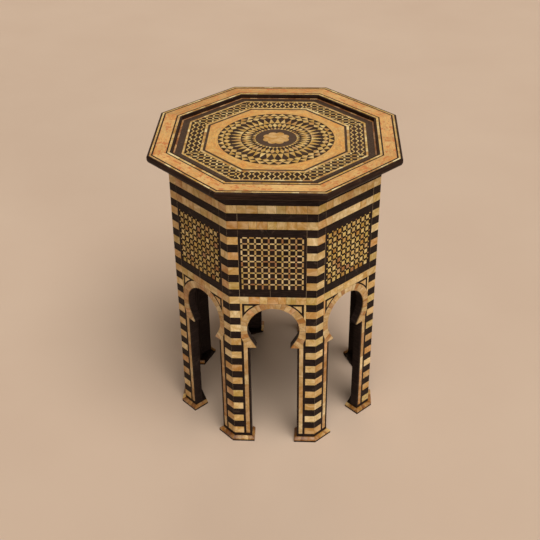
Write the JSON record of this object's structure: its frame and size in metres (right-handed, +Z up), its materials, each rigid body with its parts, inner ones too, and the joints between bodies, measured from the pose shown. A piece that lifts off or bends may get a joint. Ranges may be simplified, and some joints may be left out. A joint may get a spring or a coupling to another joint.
{
  "type": "side table",
  "caption": "Octagonal inlaid side table or stool with a sunk tray top on corner legs, joined by horseshoe arches under striped and latticed faces.",
  "frame": {"origin": "on the floor, at the middle of the octagon", "axes": "+Z up, the first face looks along -Y, +X to the right seen from that face"},
  "size_m": [0.3908, 0.3908, 0.5],
  "materials": {
    "ebonised_board": "satin, fine grain",
    "pale_tesserae": "polished, each piece a little different",
    "lattice_dark": "satin, dark squares in a pale grid",
    "lattice_pale": "satin, pale squares in a dark grid",
    "pale_moulding": "polished, rubbed edges",
    "rim_wood": "polished, rounded nosing",
    "inner_wood": "plain stained wood",
    "tan_banding": "polished, flecked",
    "pale_lines": "polished",
    "dark_veneer": "satin",
    "pattern_band": "satin, pale lines on dark"
  },
  "bodies": {
    "root": {"face_inlay_1": "pale_tesserae", "face_inlay_2": "pale_tesserae", "face_inlay_3": "pale_tesserae", "face_inlay_4": "pale_tesserae", "face_inlay_5": "pale_tesserae", "face_inlay_6": "pale_tesserae", "face_inlay_7": "pale_tesserae", "face_inlay_8": "pale_tesserae", "foot_base_1": "ebonised_board", "foot_base_2": "ebonised_board", "foot_base_3": "ebonised_board", "foot_base_4": "ebonised_board", "foot_base_5": "ebonised_board", "foot_base_6": "ebonised_board", "foot_base_7": "ebonised_board", "foot_base_8": "ebonised_board", "foot_moulding_1": "pale_moulding", "foot_moulding_2": "pale_moulding", "foot_moulding_3": "pale_moulding", "foot_moulding_4": "pale_moulding", "foot_moulding_5": "pale_moulding", "foot_moulding_6": "pale_moulding", "foot_moulding_7": "pale_moulding", "foot_moulding_8": "pale_moulding", "glue_blocks": "inner_wood", "lattice_panel_1": "lattice_dark", "lattice_panel_2": "lattice_pale", "lattice_panel_3": "lattice_dark", "lattice_panel_4": "lattice_pale", "lattice_panel_5": "lattice_dark", "lattice_panel_6": "lattice_pale", "lattice_panel_7": "lattice_dark", "lattice_panel_8": "lattice_pale", "medallion_centre": "dark_veneer", "medallion_rays": "pale_tesserae", "medallion_rosette": "pale_tesserae", "medallion_toothed_ring": "dark_veneer", "rim_banding": "tan_banding", "rim_lines": "pale_lines", "rim_rail_1": "rim_wood", "rim_rail_2": "rim_wood", "rim_rail_3": "rim_wood", "rim_rail_4": "rim_wood", "rim_rail_5": "rim_wood", "rim_rail_6": "rim_wood", "rim_rail_7": "rim_wood", "rim_rail_8": "rim_wood", "side_board_1": "ebonised_board", "side_board_2": "ebonised_board", "side_board_3": "ebonised_board", "side_board_4": "ebonised_board", "side_board_5": "ebonised_board", "side_board_6": "ebonised_board", "side_board_7": "ebonised_board", "side_board_8": "ebonised_board", "top_board": "inner_wood", "tray_dark_borders": "dark_veneer", "tray_lines": "pale_lines", "tray_octagon": "tan_banding", "tray_pattern_band": "pattern_band"}
  },
  "joints": []
}
